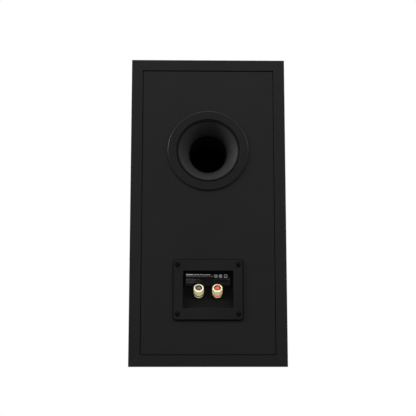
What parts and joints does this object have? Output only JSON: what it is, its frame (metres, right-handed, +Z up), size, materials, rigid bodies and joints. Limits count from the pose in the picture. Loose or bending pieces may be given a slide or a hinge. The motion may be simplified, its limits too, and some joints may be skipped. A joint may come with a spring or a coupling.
{
  "type": "bookshelf speaker",
  "caption": "Black two-way bookshelf loudspeaker with rear flared reflex port and a recessed plate with gold binding posts.",
  "frame": {"origin": "on the bottom face, under the middle of the cabinet's width and depth", "axes": "+Z up, +X to the listener's right seen from the front, -Y towards the listener (front baffle), +Y the back with the port and terminals"},
  "size_m": [0.21, 0.3057, 0.418],
  "materials": {
    "cabinet_wrap": "fibreboard under satin black vinyl with a fine grain",
    "baffle_wrap": "fibreboard under satin black vinyl",
    "back_wrap": "fibreboard under charcoal satin vinyl",
    "raw_board": "bare fibreboard",
    "foam": "open-cell damping foam",
    "port_plastic": "satin moulded plastic",
    "port_card": "black spiral-wound card tube",
    "plate_plastic": "finely textured moulded plastic",
    "gasket_foam": "soft black foam",
    "label": "black printed label",
    "black_screw": "black zinc screws",
    "gold": "pale gold plating on brass",
    "black_plastic": "black moulded plastic",
    "red_plastic": "red moulded plastic",
    "tinned": "tinned tags",
    "circuit_board": "green laminate",
    "nylon": "natural nylon",
    "zinc_screw": "zinc-plated screws",
    "copper_coil": "enamelled copper winding",
    "capacitor_film": "yellow film wrap",
    "resistor_ceramic": "white ceramic",
    "black_wire": "black insulated wire",
    "red_wire": "red insulated wire",
    "basket_paint": "black powder coat on pressed steel",
    "trim_plastic": "satin black trim",
    "surround_rubber": "soft black rubber",
    "cone_paper": "black coated paper cone",
    "spider_cloth": "resin-treated corrugated cloth",
    "zinc_steel": "zinc-plated steel",
    "ferrite": "dark grey ferrite",
    "terminal_fibre": "brown fibre strip with tags",
    "guide_plastic": "satin black moulded plastic",
    "dome_fabric": "doped black fabric"
  },
  "bodies": {
    "shell": {"left_board": "cabinet_wrap", "right_board": "cabinet_wrap", "top_board": "cabinet_wrap", "bottom_board": "cabinet_wrap", "front_baffle": "baffle_wrap", "back_panel": "back_wrap", "window_brace": "raw_board", "left_foam": "foam", "right_foam": "foam", "top_foam": "foam", "port_mouth": "port_plastic", "port_inner_flare": "port_plastic", "port_tube": "port_card", "terminal_cup": "plate_plastic", "terminal_gasket": "gasket_foam", "woofer_gasket": "gasket_foam", "rating_label": "label", "terminal_screws": "black_screw", "woofer_screws": "black_screw", "tweeter_screws": "black_screw", "negative_stud": "gold", "positive_stud": "gold", "post_fixing_nuts": "gold", "solder_tags": "tinned", "tweeter_terminals": "tinned", "crossover_board": "circuit_board", "crossover_standoffs": "nylon", "crossover_screws": "zinc_screw", "woofer_inductor": "copper_coil", "tweeter_inductor": "copper_coil", "capacitors": "capacitor_film", "resistors": "resistor_ceramic", "negative_leads": "black_wire", "positive_leads": "red_wire", "woofer_basket": "basket_paint", "woofer_trim_ring": "trim_plastic", "tweeter_trim_ring": "trim_plastic", "woofer_surround": "surround_rubber", "tweeter_surround": "surround_rubber", "woofer_spider": "spider_cloth", "woofer_top_plate": "zinc_steel", "woofer_yoke": "zinc_steel", "tweeter_top_plate": "zinc_steel", "tweeter_yoke": "zinc_steel", "woofer_magnet": "ferrite", "tweeter_magnet": "ferrite", "woofer_terminals": "terminal_fibre", "tweeter_faceplate": "guide_plastic", "tweeter_rear_cup": "guide_plastic"},
    "woofer_mover": {"woofer_cone": "cone_paper", "woofer_dust_cap": "cone_paper", "woofer_voice_coil": "copper_coil"},
    "tweeter_mover": {"tweeter_dome": "dome_fabric"},
    "negative_washer": {"negative_ring": "black_plastic"},
    "negative_nut_body": {"negative_nut": "gold"},
    "positive_washer": {"positive_ring": "red_plastic"},
    "positive_nut_body": {"positive_nut": "gold"},
    "negative_plug": {"negative_cap": "black_plastic"},
    "positive_plug": {"positive_cap": "red_plastic"}
  },
  "joints": [
    {"name": "woofer_stroke", "type": "slide", "parent": "shell", "child": "woofer_mover", "axis": [0, -1, 0], "range_m": [-0.005, 0.005], "stiffness_N_per_m": 1200, "deforming": ["woofer_surround", "woofer_spider"]},
    {"name": "tweeter_stroke", "type": "slide", "parent": "shell", "child": "tweeter_mover", "axis": [0, -1, 0], "range_m": [-0.0005, 0.0005], "stiffness_N_per_m": 3000, "deforming": ["tweeter_surround"]},
    {"name": "negative_washer_lift", "type": "slide", "parent": "shell", "child": "negative_washer", "axis": [0, 0.8192, 0.5736], "range_m": [0, 0.00381]},
    {"name": "negative_nut_turn", "type": "hinge", "parent": "negative_washer", "child": "negative_nut_body", "pos_m": [0.0125, 0.13591, 0.096], "axis": [0, 0.8192, 0.5736], "range_deg": [0, 1368]},
    {"name": "negative_plug_pull", "type": "slide", "parent": "shell", "child": "negative_plug", "axis": [0, 0.8192, 0.5736], "range_m": [0, 0.014]},
    {"name": "positive_washer_lift", "type": "slide", "parent": "shell", "child": "positive_washer", "axis": [0, 0.8192, 0.5736], "range_m": [0, 0.00381]},
    {"name": "positive_nut_turn", "type": "hinge", "parent": "positive_washer", "child": "positive_nut_body", "pos_m": [-0.0125, 0.13591, 0.096], "axis": [0, 0.8192, 0.5736], "range_deg": [0, 1368]},
    {"name": "positive_plug_pull", "type": "slide", "parent": "shell", "child": "positive_plug", "axis": [0, 0.8192, 0.5736], "range_m": [0, 0.014]}
  ],
  "couplings": [
    {"joint": "negative_washer_lift", "follows": "negative_nut_turn", "m_per_rad": 0.00015915},
    {"joint": "positive_washer_lift", "follows": "positive_nut_turn", "m_per_rad": 0.00015915}
  ]
}
